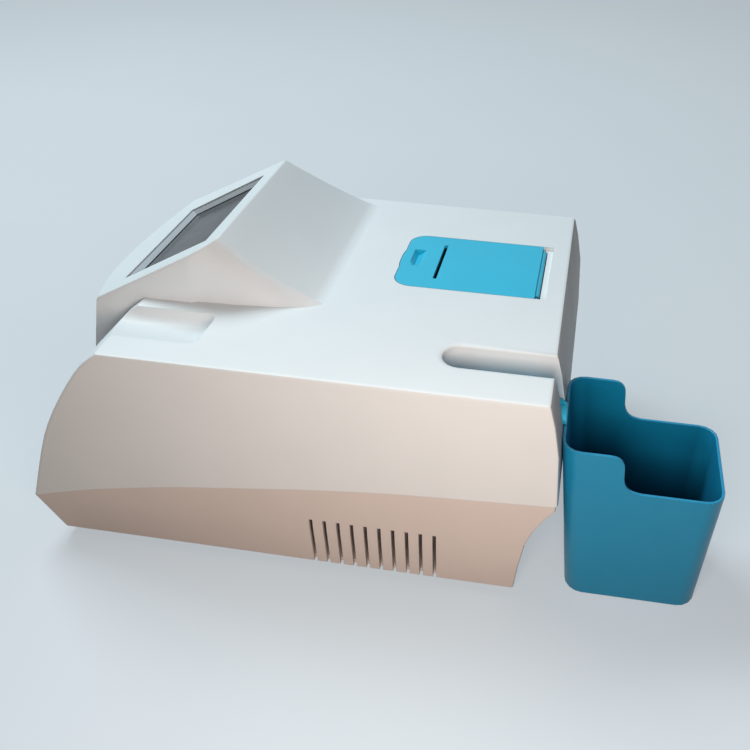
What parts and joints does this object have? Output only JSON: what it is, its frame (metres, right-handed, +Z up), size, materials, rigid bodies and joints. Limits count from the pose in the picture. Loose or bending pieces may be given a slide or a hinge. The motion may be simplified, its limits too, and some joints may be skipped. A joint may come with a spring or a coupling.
{
  "type": "urine analyzer",
  "caption": "Desktop strip reader with a tilted touch display, a hinged label-printer cover, a motor-driven strip lane and a free-standing bin for used strips",
  "frame": {"origin": "on the table, under the centre of the device and its bin together", "axes": "+Z up, -Y to the front where the display faces, +X to the user's right where the strip lane runs"},
  "size_m": [0.306, 0.5324, 0.2412],
  "materials": {
    "case_white": "fine satin texture",
    "seal_grey": "matte",
    "screen_glass": "smooth",
    "module_metal": "satin",
    "sheet_steel": "zinc plated",
    "teal_cover": "satin",
    "teal_bin": "satin",
    "steel": "ground",
    "white_tile": "smooth",
    "black_plastic": "matte",
    "ivory_plastic": "satin",
    "rubber": "matte",
    "pulley_metal": "turned",
    "motor_metal": "satin",
    "circuit_board": "solder mask",
    "paper": "thermal paper",
    "brass": "turned",
    "rocker_red": "satin"
  },
  "bodies": {
    "case": {"upper_shell": "case_white", "lower_shell": "case_white", "screen_gasket": "seal_grey", "touch_glass": "screen_glass", "display_module": "module_metal", "display_bracket": "sheet_steel", "cover_hinge_pin": "steel", "strip_rail": "teal_cover", "reference_tile": "white_tile", "lane_chassis": "sheet_steel", "rod_block_front": "black_plastic", "rod_block_rear": "black_plastic", "guide_rod_left": "steel", "guide_rod_right": "steel", "drive_belt": "rubber", "idler_pin": "steel", "drive_motor": "motor_metal", "optical_head": "black_plastic", "sensor_board": "circuit_board", "main_board": "circuit_board", "power_supply": "sheet_steel", "printer_bay": "black_plastic", "paper_spindle": "black_plastic", "printer_frame": "sheet_steel", "print_head": "module_metal", "printer_motor": "motor_metal", "power_inlet": "black_plastic", "power_switch": "black_plastic", "serial_port": "steel", "usb_port": "steel", "foot_1": "rubber", "foot_2": "rubber", "foot_3": "rubber", "foot_4": "rubber", "case_screw_1": "steel", "case_screw_2": "steel", "case_screw_3": "steel", "case_screw_4": "steel", "chassis_screw_1": "steel", "chassis_screw_2": "steel", "chassis_screw_3": "steel", "chassis_screw_4": "steel"},
    "cover": {"printer_cover": "teal_cover"},
    "paper": {"paper_roll": "paper"},
    "platen": {"platen_roller": "rubber", "platen_gear": "ivory_plastic"},
    "pinion": {"printer_pinion": "brass"},
    "pusher": {"strip_pusher": "ivory_plastic"},
    "drive": {"drive_pulley": "pulley_metal", "motor_shaft": "steel"},
    "idler": {"idler_pulley": "pulley_metal"},
    "rocker": {"power_rocker": "rocker_red"},
    "bin": {"waste_bin": "teal_bin"}
  },
  "joints": [
    {"name": "cover_hinge", "type": "hinge", "parent": "case", "child": "cover", "pos_m": [-0.036, 0.11417, 0.1873], "axis": [-1, 0, 0], "range_deg": [0, 95]},
    {"name": "paper_spin", "type": "hinge", "parent": "case", "child": "paper", "pos_m": [-0.036, 0.06927, 0.15], "axis": [1, 0, 0], "continuous": true},
    {"name": "platen_spin", "type": "hinge", "parent": "case", "child": "platen", "pos_m": [-0.036, 0.02027, 0.171], "axis": [1, 0, 0], "continuous": true},
    {"name": "pinion_spin", "type": "hinge", "parent": "case", "child": "pinion", "pos_m": [-0.036, 0.01222, 0.15906], "axis": [1, 0, 0], "continuous": true},
    {"name": "pusher_slide", "type": "slide", "parent": "case", "child": "pusher", "axis": [0, 1, 0], "range_m": [0, 0.12]},
    {"name": "drive_spin", "type": "hinge", "parent": "case", "child": "drive", "pos_m": [0.062, -0.01473, 0.16], "axis": [0, 0, 1], "range_deg": [-5, 1151]},
    {"name": "idler_spin", "type": "hinge", "parent": "case", "child": "idler", "pos_m": [0.062, -0.18673, 0.16], "axis": [0, 0, 1], "range_deg": [-5, 1151]},
    {"name": "rocker_tilt", "type": "hinge", "parent": "case", "child": "rocker", "pos_m": [-0.1458, 0.02327, 0.045], "axis": [0, 0, 1], "range_deg": [0, 20]},
    {"name": "bin_slide", "type": "slide", "parent": "case", "child": "bin", "axis": [0, 1, 0], "range_m": [0, 0.2]}
  ],
  "couplings": [
    {"joint": "pinion_spin", "follows": "platen_spin", "ratio": -2},
    {"joint": "drive_spin", "follows": "pusher_slide", "rad_per_m": 166.67},
    {"joint": "idler_spin", "follows": "pusher_slide", "rad_per_m": 166.67}
  ]
}
